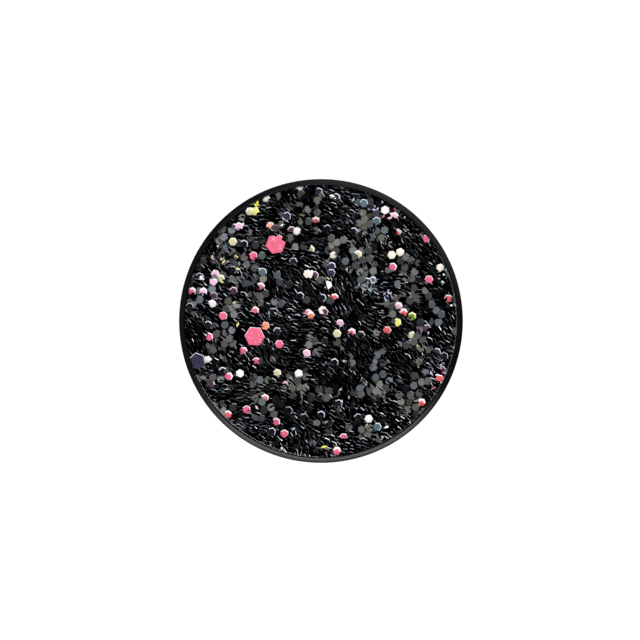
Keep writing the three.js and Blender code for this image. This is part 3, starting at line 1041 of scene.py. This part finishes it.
def make_camera():
    """Straight on to the face, which fills a bit less than half of the picture's width."""
    lens, sensor = 100.0, 36.0
    pin_share = 0.443
    off_centre, target_y = 0.13, -1.5
    view_width = 2 * PIN_RADIUS / pin_share
    data = bpy.data.cameras.new("camera")
    data.lens = lens
    data.sensor_width = sensor
    data.clip_start = 0.01
    data.clip_end = 10
    camera = add_object("camera", data)
    camera.location = Vector((-off_centre, target_y - view_width * lens / sensor, off_centre)) * M
    camera.rotation_euler = (math.pi / 2, 0, 0)
    bpy.context.scene.camera = camera


def add_softbox(name, place_mm, size_mm, power):
    """A softbox that points at the pin and isn't itself seen."""
    data = bpy.data.lights.new(name, "AREA")
    data.shape = "RECTANGLE"
    data.size, data.size_y = (s * M for s in size_mm)
    data.energy = power
    light = add_object(name, data)
    light.location = Vector(place_mm) * M
    light.rotation_euler = (-Vector(place_mm)).to_track_quat("-Z", "Y").to_euler()
    light.visible_camera = False
    return light


def make_world():
    """A white studio, seen as plain white. As light it is dim in front and below, and brighter behind."""
    world = bpy.data.worlds.new("studio")
    bpy.context.scene.world = world
    world.use_nodes = True
    nodes, links = world.node_tree.nodes, world.node_tree.links
    nodes.clear()
    split = nodes.new("ShaderNodeSeparateXYZ")
    links.new(nodes.new("ShaderNodeTexCoord").outputs["Generated"], split.inputs[0])
    both = nodes.new("ShaderNodeMath")
    both.operation = "MULTIPLY"
    ranges = (("Y", -0.1, 1.0, 0.01, 0.5), ("Z", -0.6, 0.5, 0.25, 1.0))
    for socket, (axis, from_min, from_max, to_min, to_max) in zip(both.inputs, ranges):
        spread = nodes.new("ShaderNodeMapRange")
        spread.inputs["From Min"].default_value = from_min
        spread.inputs["From Max"].default_value = from_max
        spread.inputs["To Min"].default_value = to_min
        spread.inputs["To Max"].default_value = to_max
        links.new(split.outputs[axis], spread.inputs["Value"])
        links.new(spread.outputs["Result"], socket)
    light = nodes.new("ShaderNodeBackground")
    light.inputs["Color"].default_value = (1, 1, 1, 1)
    links.new(both.outputs[0], light.inputs["Strength"])
    seen = nodes.new("ShaderNodeBackground")
    seen.inputs["Color"].default_value = (1, 1, 1, 1)
    seen.inputs["Strength"].default_value = 1.05
    mix = nodes.new("ShaderNodeMixShader")
    links.new(nodes.new("ShaderNodeLightPath").outputs["Is Camera Ray"], mix.inputs[0])
    links.new(light.outputs[0], mix.inputs[1])
    links.new(seen.outputs[0], mix.inputs[2])
    links.new(mix.outputs[0], nodes.new("ShaderNodeOutputWorld").inputs[0])


def make_floor():
    """A pale round floor, well below the pin."""
    depth, radius, around = 150, 170, 96
    corners = []
    for i in range(around):
        angle = 2 * math.pi * i / around
        corners.append(Vector((radius * math.cos(angle), radius * math.sin(angle), -depth)) * M)
    mesh = bpy.data.meshes.new("floor")
    mesh.from_pydata(corners, [], [list(range(around))])
    mesh.materials.append(Nodes("floor_pale", Roughness=0.7, Base_Color=(0.9, 0.9, 0.9, 1)).material)
    floor = add_object("floor", mesh)


def make_lights():
    """The softboxes, each with its place and size in mm and its watts."""
    add_softbox("key", (200, -260, 300), (480, 480), 2.2)
    add_softbox("edge", (330, -70, 300), (720, 720), 1.7)
    add_softbox("fill", (-300, -280, 60), (440, 440), 0.75)
    add_softbox("overhead", (0, -150, 420), (600, 560), 1.6)
    add_softbox("back_left", (-260, 330, 200), (480, 480), 1.0)
    add_softbox("back_right", (300, 280, 60), (300, 420), 0.55)


def light_rim_from_below():
    """A long low softbox for the rim alone, which draws the pale crescent along its lower edge."""
    light = add_softbox("rim_light", (0, -113, -145), (280, 110), 2.7)
    lit = bpy.data.collections.new("lit_by_rim_light")
    lit.objects.link(bpy.data.objects["pin_tray"])
    light.light_linking.receiver_collection = lit


BLACK_PLATE = plate_material("black_plate", (0.36, 0.46), Specular_IOR_Level=0.3)
NICKEL = nickel_material()
SPRING = spring_material()

bpy.context.scene.view_settings.view_transform = "Standard"
make_camera()
make_world()
make_floor()
make_lights()
make_tray()
make_enamel()
make_glitter()
make_resin()
light_rim_from_below()
for SIDE in ("left", "right"):
    make_post(SIDE)
    make_face_plate(SIDE)
    make_shell(SIDE)
    make_bridge(SIDE)
    for WHERE in ("upper", "lower"):
        make_wing(SIDE, WHERE)
